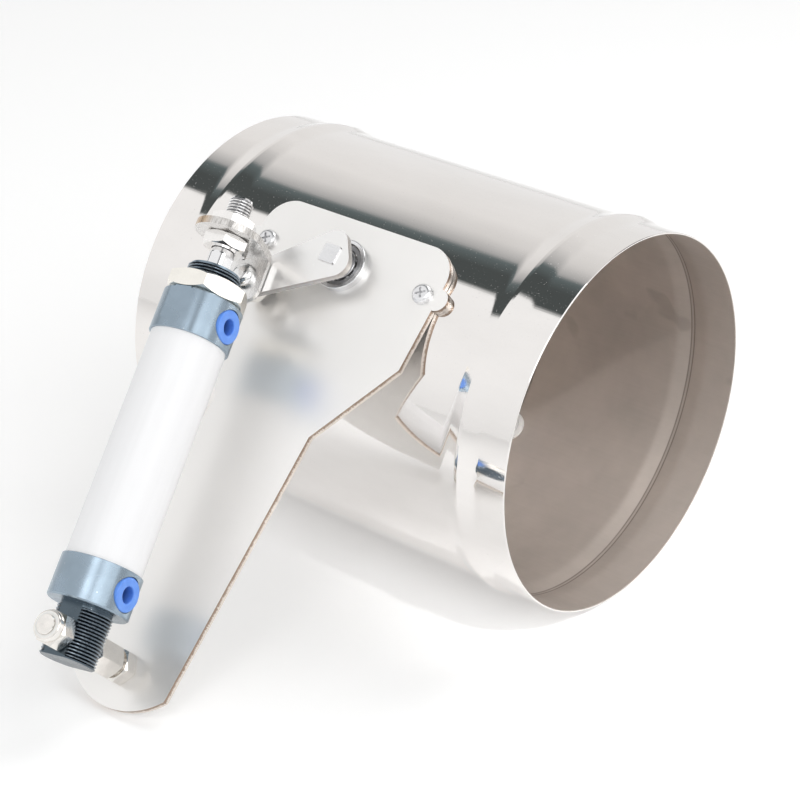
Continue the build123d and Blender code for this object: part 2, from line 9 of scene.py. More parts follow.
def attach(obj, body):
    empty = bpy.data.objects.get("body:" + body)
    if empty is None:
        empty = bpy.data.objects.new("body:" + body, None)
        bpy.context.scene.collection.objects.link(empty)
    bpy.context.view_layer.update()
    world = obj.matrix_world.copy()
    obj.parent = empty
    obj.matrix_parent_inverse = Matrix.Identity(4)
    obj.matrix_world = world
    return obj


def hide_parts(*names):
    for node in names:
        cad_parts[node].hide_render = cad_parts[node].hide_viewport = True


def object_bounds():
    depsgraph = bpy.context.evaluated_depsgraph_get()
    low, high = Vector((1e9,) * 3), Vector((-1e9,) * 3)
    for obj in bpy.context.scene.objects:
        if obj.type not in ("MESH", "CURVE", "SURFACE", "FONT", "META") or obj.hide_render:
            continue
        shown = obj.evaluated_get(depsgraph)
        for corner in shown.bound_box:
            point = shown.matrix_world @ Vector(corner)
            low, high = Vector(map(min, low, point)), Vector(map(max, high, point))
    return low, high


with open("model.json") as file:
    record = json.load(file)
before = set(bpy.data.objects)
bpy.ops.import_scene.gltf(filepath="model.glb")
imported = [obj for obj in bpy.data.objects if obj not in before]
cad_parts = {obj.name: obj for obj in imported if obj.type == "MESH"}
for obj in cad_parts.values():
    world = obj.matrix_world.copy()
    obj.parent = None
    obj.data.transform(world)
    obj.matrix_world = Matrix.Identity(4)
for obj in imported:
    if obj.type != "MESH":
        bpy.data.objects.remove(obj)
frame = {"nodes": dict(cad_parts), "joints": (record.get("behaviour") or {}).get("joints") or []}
cad_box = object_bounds()

# Duct tube.
# The body of the damper is stainless sheet, rolled to a tube and seam welded, with a roof-shaped
# bead swaged out near each end. It is mirror polished outside and mill satin inside.
duct_radius = 0.080
duct_length = 0.200
duct_wall = 0.0008
bead_from_end = 0.0224
bead_width = 0.015
bead_crest = 0.0015
bead_height = 0.0016
bead_foot_round = 0.0018
bead_crest_round = 0.0003
rim_round = 0.0002
rows_under_plate = (0.046, 0.012, -0.012, -0.046)
shaft_hole = 0.016
screw_hole = 0.0043
screw_spread = 0.082
bush_hole = 0.012
drill_start = duct_radius / 2
drill_end = 1.2 * duct_radius
duct_steps = 288
drill_steps = 48
corner_steps = 4
duct_crease = radians(40)
plain_crease = radians(28)
inward = -0.2
polish_colour = (0.875, 0.85, 0.83, 1)
smear_colour = (0.83, 0.805, 0.785, 1)
satin_colour = (0.52, 0.462, 0.42, 1)
# The stain colour also serves as the painted shade along the creases of the beads.
stain_and_crease_shade_colour = (0.16, 0.13, 0.11, 1)
wave_depth = 0.0005
scratch_depth = 0.000003
crease_shade_share = 0.75
crease_shade_reach = (0.0001, 0.0005)
stain_share = 0.2
grain_share = 0.7
first_colour_input = 6
second_colour_input = 7
mixed_colour_output = 2

joints = {joint["name"]: joint for joint in frame["joints"]}
shaft_joint = joints["crank_turn"]
plate_normal = -Vector(shaft_joint["axis"])
shaft_centre = Vector(shaft_joint["pos_m"])
duct_axis = Vector((1, 0, 0))


def placed(origin, x_axis, z_axis):
    """The placing matrix of a piece: where its own origin lies and how its axes run."""
    y_axis = z_axis.cross(x_axis)
    turn = Matrix((x_axis, y_axis, z_axis)).transposed().to_4x4()
    return Matrix.Translation(origin) @ turn


def thrice(value):
    """The same value along all three axes, or in red, green and blue."""
    return (value, value, value)


def darkened(colour, share):
    """A colour with a share of its light taken away."""
    return tuple(level * (1 - share) for level in colour[:3]) + (1,)


def softened(points):
    """A profile of (radius, height, reach) points with its corners rounded off over their reach."""
    corners = [Vector(point[:2]) for point in points]
    rows = [corners[0]]
    for before, corner, after, point in zip(corners, corners[1:], corners[2:], points[1:]):
        start = corner + (before - corner).normalized() * point[2]
        end = corner + (after - corner).normalized() * point[2]
        for step in range(corner_steps + 1 if point[2] else 1):
            share = step / corner_steps
            rows.append(start.lerp(corner, share).lerp(corner.lerp(end, share), share))
    return [tuple(row) for row in rows + corners[-1:]]


def turned(rows, steps, limit=None, ring=False, squared=None):
    """Rows of (radius, height), or of (radius, height, thread depth, thread pitch), spun about Z.

    limit gives the largest radius at an angle, ring joins the last row to the first, and squared
    moves a point onto milled flats. Faces between thread rows take the second finish.
    """
    shape = bmesh.new()
    rings = []
    for row in rows:
        radius, height = row[:2]
        depth, pitch = row[2:] if len(row) > 2 else (0, 1)
        if radius == 0:
            rings.append([shape.verts.new((0, 0, height))] * steps)
            continue
        points = []
        for step in range(steps):
            angle = tau * step / steps
            reach = radius - depth * (1 + cos(tau * height / pitch - angle)) / 2
            if limit:
                reach = min(reach, limit(angle))
            point = Vector((reach * cos(angle), reach * sin(angle), height))
            points.append(shape.verts.new(squared(point) if squared else point))
        rings.append(points)
    pairs = list(zip(rows, rings, rows[1:], rings[1:]))
    if ring:
        pairs.append((rows[-1], rings[-1], rows[0], rings[0]))
    for low_row, low, high_row, high in pairs:
        threaded = len(low_row) > 2 or len(high_row) > 2
        for step in range(steps):
            after = (step + 1) % steps
            corners = [low[step], low[after], high[after], high[step]]
            corners = [corner for i, corner in enumerate(corners) if corner not in corners[:i]]
            if len(corners) > 2:
                shape.faces.new(corners).material_index = 1 if threaded else 0
    bmesh.ops.recalc_face_normals(shape, faces=shape.faces)
    shape.normal_update()
    return shape


def shown(name, shape, place, *finishes, holes=(), crease=plain_crease):
    """A mesh becomes a piece in its place, with its holes drilled, smooth faces and crisp edges."""
    mesh = bpy.data.meshes.new(name)
    shape.to_mesh(mesh)
    shape.free()
    for finish in finishes:
        mesh.materials.append(finish)
    piece = bpy.data.objects.new(name, mesh)
    piece.matrix_world = place
    bpy.context.scene.collection.objects.link(piece)
    if holes:
        drilled(piece, holes)
    piece.data.shade_smooth()
    piece.data.set_sharp_from_angle(angle=crease)
    return piece


def hole(place, near, *steps):
    """A drill in its place, which begins at a height and grows in steps of (radius, end height)."""
    rows = [(0, near)]
    for radius, end in steps:
        rows += [(radius, rows[-1][1]), (radius, end)]
    return place, rows + [(0, rows[-1][1])]


def drilled(piece, holes):
    """Bores round holes out of a piece."""
    shape = bmesh.new()
    for place, rows in holes:
        bit = turned(rows, drill_steps)
        bit.transform(place)
        bit_mesh = bpy.data.meshes.new("bit")
        bit.to_mesh(bit_mesh)
        bit.free()
        shape.from_mesh(bit_mesh)
        bpy.data.meshes.remove(bit_mesh)
    mesh = bpy.data.meshes.new("drill")
    shape.to_mesh(mesh)
    shape.free()
    drill = bpy.data.objects.new("drill", mesh)
    bpy.context.scene.collection.objects.link(drill)
    cut = piece.modifiers.new("drill", "BOOLEAN")
    cut.object = drill
    cut.operation = "DIFFERENCE"
    cut.solver = "EXACT"
    bpy.context.view_layer.update()
    seen = piece.evaluated_get(bpy.context.evaluated_depsgraph_get())
    bored = bpy.data.meshes.new_from_object(seen)
    piece.modifiers.clear()
    piece.data = bored
    bpy.data.objects.remove(drill)


def finish_of(name, **sockets):
    """A material whose shader has the plain sockets set that are the same all over."""
    finish = bpy.data.materials.new(name)
    finish.use_nodes = True
    for socket, value in sockets.items():
        shader_of(finish).inputs[socket.replace("_", " ")].default_value = value
    return finish


def shader_of(finish):
    """The material's main shader."""
    return finish.node_tree.nodes["Principled BSDF"]


def colour_of(finish):
    """The colour socket that feeds the material's shader so far."""
    return shader_of(finish).inputs["Base Color"].links[0].from_socket


def add_node(finish, kind, **values):
    """A node with its own settings and plain inputs set; an input name may have _ for a space."""
    made = finish.node_tree.nodes.new(kind)
    for key, value in values.items():
        if key.replace("_", " ") in made.inputs:
            made.inputs[key.replace("_", " ")].default_value = value
        else:
            setattr(made, key, value)
    return made


def link(finish, source, target):
    """Joins an output socket to an input socket."""
    finish.node_tree.links.new(source, target)


def feed(finish, **sources):
    """Joins sockets to the material's shader, by the names of its inputs with _ for a space."""
    for socket, source in sources.items():
        link(finish, source, shader_of(finish).inputs[socket.replace("_", " ")])


def sum_of(finish, operation, first, second=0.0):
    """The value of a sum of one or two numbers, either of which may be a socket."""
    node = add_node(finish, "ShaderNodeMath", operation=operation)
    for value, socket in ((first, node.inputs[0]), (second, node.inputs[1])):
        if isinstance(value, bpy.types.NodeSocket):
            link(finish, value, socket)
        else:
            socket.default_value = value
    return node.outputs["Value"]


def apart(finish, value, level):
    """How far a value socket lies from a level, either way."""
    return sum_of(finish, "ABSOLUTE", sum_of(finish, "SUBTRACT", value, level))


def distance(finish, direction, origin):
    """How far a point lies along a direction from an origin, as a value socket."""
    where = add_node(finish, "ShaderNodeTexCoord")
    along = add_node(finish, "ShaderNodeVectorMath", operation="DOT_PRODUCT")
    along.inputs[1].default_value = direction
    link(finish, where.outputs["Object"], along.inputs[0])
    return sum_of(finish, "SUBTRACT", along.outputs["Value"], direction.dot(origin))


def texture(finish, size, place=Matrix.Identity(4), detail=4.0, roughness=0.55):
    """A noise whose grain has a size along each axis of a placing matrix; gives its value socket."""
    where = add_node(finish, "ShaderNodeTexCoord")
    lay = add_node(finish, "ShaderNodeMapping", vector_type="TEXTURE", Scale=size)
    lay.inputs["Location"].default_value = place.to_translation()
    lay.inputs["Rotation"].default_value = place.to_euler()
    noise = add_node(finish, "ShaderNodeTexNoise", Scale=1.0, Detail=detail, Roughness=roughness)
    link(finish, where.outputs["Object"], lay.inputs["Vector"])
    link(finish, lay.outputs["Vector"], noise.inputs["Vector"])
    return noise.outputs["Fac"]


def spread(finish, value, low, high, at=(0.3, 0.7)):
    """A value socket stretched from a noise's usual range to a range of its own."""
    ranged = add_node(
        finish, "ShaderNodeMapRange", From_Min=at[0], From_Max=at[1], To_Min=low, To_Max=high
    )
    link(finish, value, ranged.inputs["Value"])
    return ranged.outputs["Result"]


def blended(finish, share, first, second):
    """A colour socket between two colours, by a share socket. A colour may itself be a socket."""
    mix = add_node(finish, "ShaderNodeMix", data_type="RGBA")
    link(finish, share, mix.inputs["Factor"])
    for colour, number in ((first, first_colour_input), (second, second_colour_input)):
        if isinstance(colour, bpy.types.NodeSocket):
            link(finish, colour, mix.inputs[number])
        else:
            mix.inputs[number].default_value = colour
    return mix.outputs[mixed_colour_output]


def relief(finish, height, depth, over=None):
    """A bump of a depth in metres, laid over another bump if there is one; gives its normal socket."""
    bump = add_node(finish, "ShaderNodeBump", Distance=depth, Strength=1.0)
    link(finish, height, bump.inputs["Height"])
    if over:
        link(finish, over, bump.inputs["Normal"])
    return bump.outputs["Normal"]


def metal(name, colour, shine, grain, place=Matrix.Identity(4), depth=0.000008, cloud=0.03, drift=0.10,
          metallic=1.0):
    """A bare metal: a worked grain in its sheen and bump, and a soft cloud of handling in its colour."""
    finish = finish_of(name, Metallic=metallic)
    worked = texture(finish, grain, place)
    handled = texture(finish, thrice(cloud), detail=3.0)
    rubbed = sum_of(finish, "MULTIPLY", worked, grain_share)
    both = sum_of(finish, "ADD", rubbed, spread(finish, handled, 0, 1 - grain_share))
    feed(
        finish,
        Base_Color=blended(finish, spread(finish, handled, 0, 1), colour, darkened(colour, drift)),
        Roughness=spread(finish, both, *shine),
        Normal=relief(finish, worked, depth),
    )
    return finish


duct_place = placed(Vector((0, 0, 0)), Vector((0, 1, 0)), duct_axis)
plate_place = placed(shaft_centre, duct_axis, plate_normal)


def duct_skin(radius):
    """The profile of one skin of the duct, from the outlet to the inlet, over its beads."""
    crest = radius + bead_height
    middle = -duct_length / 2
    points = [(radius, -rim_round, 0)]
    for centre in (-bead_from_end, bead_from_end - duct_length):
        points += [
            (radius, centre + bead_width / 2, bead_foot_round),
            (crest, centre + bead_crest / 2, bead_crest_round),
            (crest, centre - bead_crest / 2, bead_crest_round),
            (radius, centre - bead_width / 2, bead_foot_round),
        ]
        if centre > middle:
            points += [(radius, middle + reach, 0) for reach in rows_under_plate]
    return softened(points + [(radius, rim_round - duct_length, 0)])


outside = duct_skin(duct_radius)
inside = duct_skin(duct_radius - duct_wall)
rim = [(duct_radius - duct_wall + rim_round, 0), (duct_radius - rim_round, 0)]
far_rim = [(radius, -duct_length) for radius, height in reversed(rim)]
tube = turned(rim + outside + far_rim + inside[::-1], duct_steps, ring=True)
for face in tube.faces:
    centre = face.calc_center_median()
    outward = Vector((centre.x, centre.y, 0)).normalized()
    face.material_index = 1 if face.normal.dot(outward) < inward else 0

# The polished skin has long shallow rolling waves, faint draw scratches, dust and hand smears
polished = finish_of("mirror_polished_stainless", Metallic=1.0)
smears = texture(polished, (0.02, 0.02, 0.05), detail=5.0, roughness=0.6)
scratches = texture(polished, (0.0003, 0.0003, 0.02), detail=2.0)
dust = texture(polished, thrice(0.0006), detail=1.0)
waves = texture(polished, (0.03, 0.03, 0.16), detail=1.0)
smeared = spread(polished, smears, 0.02, 0.07)
scratched = spread(polished, scratches, 0.0, 0.05, at=(0.55, 0.75))
dusty = spread(polished, dust, 0.0, 0.30, at=(0.70, 0.76))
rolled = relief(polished, waves, wave_depth)
feed(
    polished,
    Base_Color=blended(polished, spread(polished, smears, 0, 1), polish_colour, smear_colour),
    Roughness=sum_of(polished, "ADD", sum_of(polished, "ADD", smeared, scratched), dusty),
    Normal=relief(polished, scratches, scratch_depth, over=rolled),
)

# The satin skin is stained here and there, with a painted shade line along each crease of the beads
satin = metal(
    "mill_satin_stainless", satin_colour, shine=(0.45, 0.62), grain=(0.0012, 0.0012, 0.05),
    depth=0.000004, cloud=0.022, drift=0.13, metallic=0.5,
)
along_tube = distance(satin, Vector((0, 0, 1)), Vector((0, 0, -duct_length / 2)))
from_crest = apart(satin, sum_of(satin, "ABSOLUTE", along_tube), duct_length / 2 - bead_from_end)
from_crease = apart(satin, from_crest, bead_crest / 2)
# Painted shade: a dark line along each crease of the beads, where shade falls.
crease_shade = spread(satin, from_crease, crease_shade_share, 0, at=crease_shade_reach)
stains = spread(satin, texture(satin, thrice(0.025), detail=2.0), 0, stain_share, at=(0.66, 0.70))
stained = blended(satin, stains, colour_of(satin), stain_and_crease_shade_colour)
feed(satin, Base_Color=blended(satin, crease_shade, stained, stain_and_crease_shade_colour))

through_wall = [
    hole(plate_place, drill_start, (shaft_hole / 2, drill_end)),
    hole(plate_place, -drill_end, (bush_hole / 2, -drill_start)),
]
for offset in (-screw_spread / 2, screw_spread / 2):
    screw_place = plate_place @ Matrix.Translation((offset, 0, 0))
    through_wall.append(hole(screw_place, drill_start, (screw_hole / 2, drill_end)))
duct = shown("duct_tube_skin", tube, duct_place, polished, satin, holes=through_wall, crease=duct_crease)
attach(duct, "housing")
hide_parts("duct_tube")

# Mounting plate.
# A flat stainless sheet, laser cut with a long neck for the cylinder and a round ear at each side.
# Its faces keep a fine satin grind along the neck, and its cut edges the brown of the laser.
plate_back = 0.080
plate_front = 0.083
plate_colour = (0.94, 0.925, 0.905, 1)
laser_brown = (0.34, 0.25, 0.19, 1)
laser_tan = (0.78, 0.71, 0.65, 1)
rib_depth = 0.0006
tint_reach = 0.0004
edge_turn = (0.5, 0.62)


def dress(finish, *names):
    """Solids of the frame take their finish."""
    for name in names:
        mesh = frame["nodes"][name].data
        mesh.materials.clear()
        mesh.materials.append(finish)


def facing(finish, direction):
    """How far a surface faces a direction, as a value socket."""
    where = add_node(finish, "ShaderNodeTexCoord")
    along = add_node(finish, "ShaderNodeVectorMath", operation="DOT_PRODUCT")
    along.inputs[1].default_value = direction
    link(finish, where.outputs["Normal"], along.inputs[0])
    return along.outputs["Value"]


def cut_sheet(name, colour, shine, grain, back, front, tints):
    """A ground sheet between two distances from the shaft; the laser tints its edge, darker in front."""
    finish = metal(name, colour, shine, grain, plate_place, depth=0.0000002, cloud=0.05, drift=0.04,
                   metallic=0.65)
    flatness = sum_of(finish, "ABSOLUTE", facing(finish, plate_normal))
    edge = spread(finish, flatness, 1, 0, at=edge_turn)
    ribs = texture(finish, (0.0005, 0.0005, 0.004), plate_place, detail=2.0)
    ribbed = sum_of(finish, "ADD", distance(finish, plate_normal, shaft_centre),
                    spread(finish, ribs, -rib_depth, rib_depth))
    middle = (back + front) / 2
    burnt = spread(finish, ribbed, 0, 1, at=(middle - tint_reach, middle + tint_reach))
    tinted = blended(finish, burnt, *tints)
    feed(finish, Base_Color=blended(finish, edge, colour_of(finish), tinted))
    return finish


plate_finish = cut_sheet(
    "satin_plate_stainless", plate_colour, shine=(0.28, 0.32), grain=(0.0007, 0.06, 0.0007),
    back=plate_back, front=plate_front, tints=(laser_tan, laser_brown),
)
dress(plate_finish, "mounting_plate")

# Plate screws and their nuts.
# Two pan-head screws with a cross recess, zinc bright, hold the plate to the duct wall;
# their small hexagon nuts sit inside the duct.
screw_colour = (0.87, 0.87, 0.88, 1)
screw_finish = metal("bright_screw_steel", screw_colour, shine=(0.24, 0.36), grain=thrice(0.0012))
dress(screw_finish, "plate_screws", "plate_screw_nuts")

# Shaft bearing.
# An open ball bearing, pressed into the plate: ground rings, polished balls and a pressed sheet cage.
ring_colour = (0.84, 0.84, 0.85, 1)
ball_colour = (0.85, 0.85, 0.86, 1)
cage_colour = (0.40, 0.40, 0.41, 1)
ring_finish = metal(
    "ground_bearing_steel", ring_colour, shine=(0.14, 0.24), grain=(0.004, 0.004, 0.0002), place=plate_place,
)
ball_finish = metal("polished_ball_steel", ball_colour, shine=(0.04, 0.10), grain=thrice(0.002))
cage_finish = metal("pressed_cage_steel", cage_colour, shine=(0.25, 0.45), grain=thrice(0.001))
dress(ring_finish, "bearing_outer_ring", "bearing_inner_ring")
dress(ball_finish, "bearing_balls")
dress(cage_finish, "bearing_cage")

# Rear bush, blade shaft and blade.
# The shaft is turned bar, slotted for a flat satin disc that two screws hold; its far end runs
# in a white moulded bush and is kept by a spring clip.
nylon_white = (0.90, 0.89, 0.87, 1)
nylon_cream = (0.84, 0.83, 0.80, 1)
speckle_depth = 0.00003
shaft_colour = (0.84, 0.84, 0.85, 1)
blade_colour = (0.80, 0.72, 0.66, 1)
clip_colour = (0.25, 0.25, 0.26, 1)
nylon = finish_of("white_moulded_nylon", Roughness=0.45)
speckle = texture(nylon, thrice(0.0015))
feed(
    nylon,
    Base_Color=blended(nylon, spread(nylon, speckle, 0, 1), nylon_white, nylon_cream),
    Normal=relief(nylon, speckle, speckle_depth),
)
shaft_finish = metal(
    "turned_shaft_steel", shaft_colour, shine=(0.18, 0.30), grain=(0.004, 0.004, 0.00025), place=plate_place,
)
blade_finish = metal(
    "satin_blade_stainless", blade_colour, shine=(0.36, 0.48), grain=(0.0006, 0.04, 0.0006),
    place=plate_place, depth=0.000004, cloud=0.05,
)
clip_finish = metal("sprung_clip_steel", clip_colour, shine=(0.25, 0.45), grain=thrice(0.001))
dress(nylon, "rear_bush")
dress(shaft_finish, "blade_shaft", "shaft_collar")
dress(clip_finish, "retaining_clip")
dress(blade_finish, "damper_blade")
dress(screw_finish, "blade_screws", "blade_nuts")

# Crank arm.
# Laser-cut bar on the shaft's squared end, clamped there, with a nickel-plated nut behind its pin hole.
arm_back = 0.0915
arm_front = 0.0945
arm_colour = (0.91, 0.90, 0.89, 1)
arm_edge_pale = (0.66, 0.63, 0.60, 1)
arm_edge_dark = (0.55, 0.51, 0.48, 1)
nickel_colour = (0.91, 0.88, 0.84, 1)
arm_finish = cut_sheet(
    "satin_arm_stainless", arm_colour, shine=(0.18, 0.28), grain=(0.0005, 0.02, 0.0005),
    back=arm_back, front=arm_front, tints=(arm_edge_pale, arm_edge_dark),
)
nickel = metal(
    "nickel_plated_nut", nickel_colour, shine=(0.12, 0.20), grain=thrice(0.003), depth=0.000002, cloud=0.006,
    drift=0.12,
)
dress(arm_finish, "crank_arm")
dress(nickel, "pivot_nut")

# Rear pivot.
# A hexagon bolt stands on the plate, held by a nut, with a long spacing nut under the cylinder's
# ear and a nylon-insert lock nut over it.
bolt_radius = 0.004
bolt_pitch = 0.00125
bolt_head = 0.013
bolt_head_height = 0.0053
bolt_thread_depth = 0.00065
bolt_tip = 0.0004
bolt_end = 0.1353
head_face_share = 0.95
head_turned_slope = 0.55
bolt_steps = 72
thread_rows = 8
pivot_drop = 0.180
bolt_crest_colour = (0.88, 0.85, 0.81, 1)
bolt_groove_shade_colour = (0.34, 0.32, 0.30, 1)


def thread(radius, depth, pitch, start, end):
    """The rows of a screw thread, with its first and last turn run out to the core."""
    count = max(2, round((end - start) / pitch * thread_rows))
    rows = [(radius - depth, start)]
    for step in range(1, count):
        rows.append((radius, start + (end - start) * step / count, depth, pitch))
    return rows + [(radius - depth, end)]


def hexagon(across_flats):
    """The radius of a hexagon at an angle."""
    return lambda angle: across_flats / 2 / cos((angle + pi / 6) % (pi / 3) - pi / 6)


def grooved(name, crest, groove, radius, depth, shine):
    """A cut thread: painted shade in its grooves, bare crests at its outer radius."""
    finish = finish_of(name, Metallic=1.0)
    where = add_node(finish, "ShaderNodeTexCoord")
    level = add_node(finish, "ShaderNodeVectorMath", operation="MULTIPLY")
    level.inputs[1].default_value = (1, 1, 0)
    link(finish, where.outputs["Object"], level.inputs[0])
    reach = add_node(finish, "ShaderNodeVectorMath", operation="LENGTH")
    link(finish, level.outputs["Vector"], reach.inputs[0])
    grit = texture(finish, thrice(0.0004), detail=2.0)
    bare = spread(finish, reach.outputs["Value"], 0, 1, at=(radius - 0.75 * depth, radius - 0.3 * depth))
    # Painted shade: the grooves take a dark colour towards the core, the crests stay bare.
    feed(
        finish,
        Base_Color=blended(finish, bare, groove, crest),
        Roughness=spread(finish, grit, *shine),
    )
    return finish


head_corner = bolt_head / 2 / cos(pi / 6)
head_face = head_face_share * bolt_head / 2
head_turned = (head_corner - head_face) * head_turned_slope
head_base = plate_back - bolt_head_height
bolt_rows = [
    (0, head_base), (head_face, head_base), (head_corner, head_base + head_turned),
    (head_corner, plate_back), (bolt_radius, plate_back),
]
bolt_rows += thread(bolt_radius, bolt_thread_depth, bolt_pitch, plate_front, bolt_end - 2 * bolt_tip)
bolt_rows += [(bolt_radius, bolt_end - bolt_tip), (bolt_radius - bolt_tip / 2, bolt_end), (0, bolt_end)]
bolt_thread = grooved(
    "nickel_bolt_thread", bolt_crest_colour, bolt_groove_shade_colour, bolt_radius, bolt_thread_depth,
    shine=(0.16, 0.30),
)
pivot_place = plate_place @ Matrix.Translation((0, -pivot_drop, 0))
bolt_shape = turned(bolt_rows, bolt_steps, limit=hexagon(bolt_head))
bolt = shown("pivot_bolt_threaded", bolt_shape, pivot_place, nickel, bolt_thread)
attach(bolt, "housing")
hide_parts("pivot_bolt")
dress(nickel, "plate_nut", "spacer_nut", "lock_nut")
dress(nylon, "lock_insert")

# Rear cap of the air cylinder.
# Turned aluminium, anodised blue-grey, with a side port and a threaded ear milled flat on two sides
# that swings on the pivot bolt.
cylinder_height = 0.1158
ear_back = 0.0128
ear_round = 0.0085
ear_half = 0.009
ear_chamfer = 0.0005
ear_relief = 0.0014
thread_run_in = 0.001
boss_radius = 0.011
boss_pitch = 0.0013
boss_thread_depth = 0.0008
cap_radius = 0.01625
cap_chamfer = 0.0006
rear_cap_length = 0.017
barrel_bore = 0.025
spigot_length = 0.008
port_radius = 0.0048
port_depth = 0.008
port_face_radius = 0.007
port_face_depth = 0.0018
running_gap = 0.00005
shoulder = 0.00001
cap_steps = 128
cap_crease = radians(12)
milled_flat = 0.999
cap_colour = (0.33, 0.41, 0.485, 1)
ear_painted_shade_colour = (0.105, 0.135, 0.16, 1)
nick_colour = (0.70, 0.73, 0.76, 1)
nick_depth = 0.000002
cap_drift = 0.14
boss_crest_colour = (0.30, 0.355, 0.41, 1)
boss_groove_shade_colour = (0.022, 0.027, 0.033, 1)

rod_axis = Vector(joints["rod_slide"]["axis"])
port_axis = rod_axis.cross(plate_normal)
cylinder_origin = plate_place @ Vector((0, -pivot_drop, cylinder_height))
bore_place = placed(cylinder_origin, port_axis, rod_axis)


def anodised(name, colour):
    """Anodised aluminium, with a soft drift of tone and sheen and a few bright nicks."""
    finish = finish_of(name, Metallic=1.0)
    cloud = texture(finish, thrice(0.012))
    nicks = texture(finish, thrice(0.0009), detail=1.0)
    toned = blended(finish, spread(finish, cloud, 0, 1), colour, darkened(colour, cap_drift))
    feed(
        finish,
        Base_Color=blended(finish, spread(finish, nicks, 0, 0.8, at=(0.75, 0.80)), toned, nick_colour),
        Roughness=spread(finish, cloud, 0.24, 0.30),
        Normal=relief(finish, nicks, nick_depth),
    )
    return finish


cap_finish = anodised("blue_grey_anodised", cap_colour)
# The ear takes a darker copy of the cap's anodised finish: a painted shade on its flats and round.
ear_painted_shade_finish = anodised("painted_shade_ear_anodised", ear_painted_shade_colour)
cap_thread = grooved(
    "blue_grey_thread", boss_crest_colour, boss_groove_shade_colour, boss_radius, boss_thread_depth,
    shine=(0.20, 0.34),
)
spigot_radius = barrel_bore / 2
rear_seat = ear_back + rear_cap_length
boss_core = boss_radius - boss_thread_depth
rear_rows = [
    (0, -ear_round), (boss_radius - ear_chamfer, -ear_round), (boss_radius, -ear_round + ear_chamfer),
]
rear_rows += thread(boss_radius, boss_thread_depth, boss_pitch, -ear_round + thread_run_in,
                    ear_back - ear_relief)
rear_rows += [
    (boss_core, ear_back - shoulder), (boss_core, ear_back),
    (cap_radius - cap_chamfer, ear_back), (cap_radius, ear_back + cap_chamfer),
    (cap_radius, rear_seat - cap_chamfer / 3), (cap_radius - cap_chamfer / 3, rear_seat),
    (spigot_radius, rear_seat), (spigot_radius, rear_seat + spigot_length), (0, rear_seat + spigot_length),
]


def ear_flats(point):
    """Mills the ear flat on both sides."""
    if point.z < ear_back - shoulder / 2:
        point.y = max(-ear_half, min(ear_half, point.y))
    return point


def port_hole(height):
    """The bore and the spot face of a side port at a height along the cylinder."""
    face = cap_radius - port_face_depth
    place = bore_place @ Matrix.Translation((0, 0, height)) @ Matrix.Rotation(pi / 2, 4, "Y")
    return hole(place, face - port_depth, (port_radius, face), (port_face_radius, 2 * cap_radius))


rear_shape = turned(rear_rows, cap_steps, squared=ear_flats)
# The ear's milled flats and plain faces take the darker copy, a painted shade.
for face in rear_shape.faces:
    milled = abs(face.normal.y) > milled_flat
    plain = face.material_index == 0
    if face.calc_center_median().z < ear_back - shoulder and (milled or plain):
        face.material_index = 2
pivot_turn = bore_place @ Matrix.Rotation(pi / 2, 4, "X")
rear_holes = [
    port_hole(ear_back + rear_cap_length / 2),
    hole(pivot_turn, -2 * boss_radius, (bolt_radius + running_gap, 2 * boss_radius)),
]
rear_cap = shown("rear_cap_threaded", rear_shape, bore_place, cap_finish, cap_thread, ear_painted_shade_finish,
                 holes=rear_holes, crease=cap_crease)
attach(rear_cap, "cylinder")
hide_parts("rear_cap")

# Barrel.
# Drawn aluminium tube, bead blasted and anodised a soft white, crimped into the two caps.
barrel_white = (0.91, 0.91, 0.92, 1)
barrel_shade = (0.88, 0.88, 0.89, 1)
blast_depth = 0.00001
barrel_finish = finish_of("white_anodised_aluminium", Coat_Weight=0.15, Coat_Roughness=0.25)
blasted = texture(barrel_finish, thrice(0.0006), detail=2.0)
drawn = texture(barrel_finish, (0.004, 0.004, 0.12), bore_place, detail=3.0)
feed(
    barrel_finish,
    Base_Color=blended(barrel_finish, spread(barrel_finish, drawn, 0, 1), barrel_white, barrel_shade),
    Roughness=spread(barrel_finish, drawn, 0.28, 0.40),
    Normal=relief(barrel_finish, blasted, blast_depth),
)
dress(barrel_finish, "barrel")

# Front cap, its nut and the rod wiper.
# The front cap has two wrench flats, a side port and a long threaded boss with a thin nickel nut;
# a rubber ring in the boss wipes the rod.
front_face = 0.1411
front_cap_length = 0.0178
cap_flat_half = 0.0152
cap_flat_length = 0.014
boss_length = 0.0134
boss_nose = 0.0009
rod_radius = 0.005
wiper_radius = 0.0075
wiper_height = 0.0025
rubber_black = (0.035, 0.035, 0.037, 1)
rubber_grey = (0.06, 0.06, 0.062, 1)
pore_depth = 0.00003
boss_nut_colour = (0.94, 0.91, 0.85, 1)

front_seat = front_face - front_cap_length
flat_start = front_face - cap_flat_length
boss_end = front_face + boss_length
rod_bore = rod_radius + running_gap
front_rows = [
    (rod_bore, front_seat - spigot_length), (spigot_radius, front_seat - spigot_length),
    (spigot_radius, front_seat), (cap_radius - cap_chamfer / 3, front_seat),
    (cap_radius, front_seat + cap_chamfer / 3), (cap_radius, flat_start), (cap_radius, flat_start + shoulder),
    (cap_radius, front_face - cap_chamfer), (cap_radius - cap_chamfer, front_face), (boss_core, front_face),
]
front_rows += thread(boss_radius, boss_thread_depth, boss_pitch, front_face + thread_run_in,
                     boss_end - boss_nose)
front_rows += [
    (boss_radius - boss_nose, boss_end), (wiper_radius, boss_end),
    (wiper_radius, boss_end - wiper_height), (rod_bore, boss_end - wiper_height),
]


def wrench_flats(point):
    """Mills the front cap flat on both sides, short of its rear rim."""
    if point.z > flat_start + shoulder / 2:
        point.y = max(-cap_flat_half, min(cap_flat_half, point.y))
    return point


